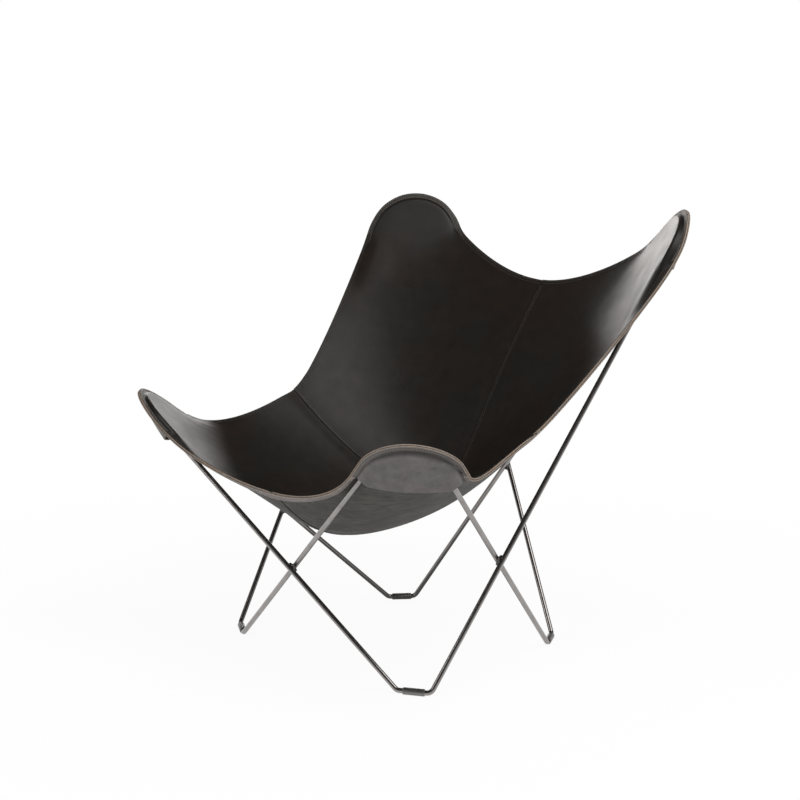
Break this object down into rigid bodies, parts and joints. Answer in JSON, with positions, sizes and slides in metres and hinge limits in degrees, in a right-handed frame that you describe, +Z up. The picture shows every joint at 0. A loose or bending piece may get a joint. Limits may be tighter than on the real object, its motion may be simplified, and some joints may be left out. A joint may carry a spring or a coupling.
{
  "type": "butterfly sling chair",
  "caption": "Leather butterfly chair: crossed loops of bent steel rod hold a sling by pockets over their high back tips and low front tips.",
  "frame": {"origin": "on the floor, under the middle of the chair's bounding box", "axes": "+Z up; the chair faces -Y; +X is on the sitter's left"},
  "size_m": [0.9398, 0.8848, 0.9265],
  "materials": {
    "gloss_black_steel": "gloss",
    "sleeve_black_steel": "matt",
    "weld_black_steel": "satin",
    "saddle_leather": "satin",
    "pocket_leather": "satin",
    "strip_leather": "matt"
  },
  "bodies": {
    "root": {"frame_rod_back_left": "gloss_black_steel", "frame_rod_back_right": "gloss_black_steel", "frame_rod_front_left": "gloss_black_steel", "frame_rod_front_right": "gloss_black_steel", "foot_sleeve_back_left": "sleeve_black_steel", "foot_sleeve_back_right": "sleeve_black_steel", "foot_sleeve_front_left": "sleeve_black_steel", "foot_sleeve_front_right": "sleeve_black_steel", "weld_front": "weld_black_steel", "weld_back": "weld_black_steel", "weld_left": "weld_black_steel", "weld_right": "weld_black_steel", "leather_panel_back_left": "saddle_leather", "leather_panel_back_right": "saddle_leather", "leather_panel_front_left": "saddle_leather", "leather_panel_front_right": "saddle_leather", "tip_pocket_back_left": "pocket_leather", "tip_pocket_back_right": "pocket_leather", "tip_pocket_front_left": "pocket_leather", "tip_pocket_front_right": "pocket_leather", "edge_strip_front": "strip_leather", "edge_strip_back": "strip_leather", "edge_strip_left": "strip_leather", "edge_strip_right": "strip_leather"}
  },
  "joints": []
}
